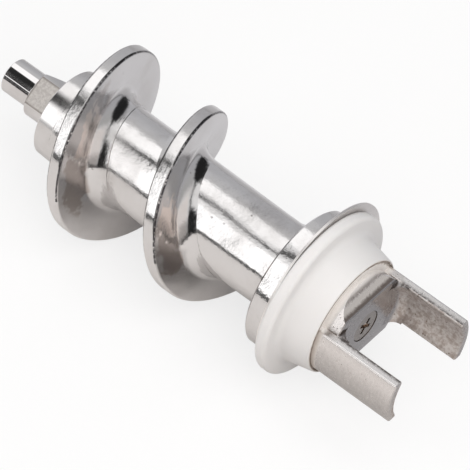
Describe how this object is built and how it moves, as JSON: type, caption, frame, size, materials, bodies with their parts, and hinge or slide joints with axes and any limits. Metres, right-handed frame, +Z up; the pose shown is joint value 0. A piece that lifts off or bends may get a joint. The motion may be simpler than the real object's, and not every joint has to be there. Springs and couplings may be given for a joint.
{
  "type": "meat grinder auger",
  "caption": "Worm of a meat grinder: bearing pin and knife seat in front, tapering helical flight on a slender core, white bush and pronged drive fork behind.",
  "frame": {"origin": "centre of the bounding box in X and Y, on the floor plane the auger rests on", "axes": "+X along the auger's axis from the front bearing pin to the drive fork, +Y across it, +Z up from the floor it lies on"},
  "size_m": [0.1402, 0.0512, 0.0501],
  "materials": {
    "polished_casting": "cast steel, polished by hand, slightly wavy, mirror bright on the pin",
    "washer_steel": "thin rolled steel, dull, brown at the edge",
    "white_plastic": "moulded white bearing plastic, satin",
    "fork_steel": "sintered and milled steel, satin, fine pits",
    "screw_steel": "plain steel, brown tarnish in the recess"
  },
  "bodies": {
    "root": {"auger_casting": "polished_casting", "thrust_washer": "washer_steel", "bearing_bush": "white_plastic", "drive_fork": "fork_steel", "fork_screw": "screw_steel"}
  },
  "joints": []
}
